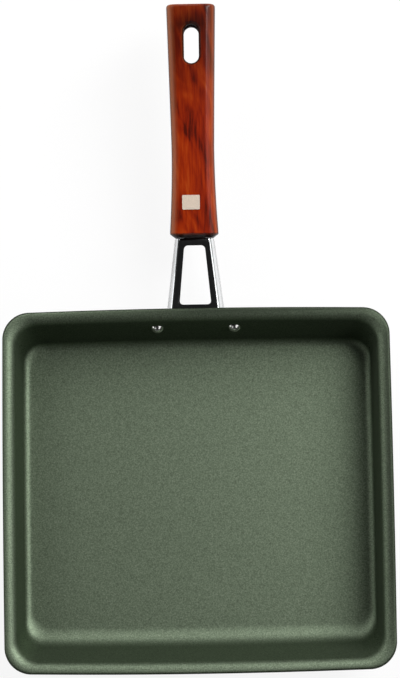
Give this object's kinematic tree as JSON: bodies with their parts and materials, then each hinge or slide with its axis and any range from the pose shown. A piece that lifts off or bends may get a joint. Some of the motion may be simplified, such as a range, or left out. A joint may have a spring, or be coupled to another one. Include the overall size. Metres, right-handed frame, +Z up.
{
  "type": "egg pan",
  "caption": "Nearly square coated pan for rolled omelettes, with a sloped front wall, a rolled rim, a riveted polished bracket and a bolted wooden grip with a hanging hole.",
  "frame": {"origin": "middle of the pan's flat base, on its underside", "axes": "+Z up, +Y towards the handle, +X to the right when the handle points away"},
  "size_m": [0.19, 0.3284, 0.0498],
  "materials": {
    "coated_pan": "satin grey-green non-stick coating with a fine metallic speckle",
    "rivets": "bright",
    "bracket": "mirror polished",
    "grip": "red-brown stain under gloss lacquer",
    "fixings": "zinc plated",
    "label": "matt"
  },
  "bodies": {
    "root": {"pan_body": "coated_pan", "rivet_left": "rivets", "rivet_right": "rivets", "handle_bracket": "bracket", "wood_grip": "grip", "handle_bolt": "fixings", "bolt_washer": "fixings", "bolt_spring_washer": "fixings", "bracket_nut": "fixings", "grip_label": "label"}
  },
  "joints": []
}
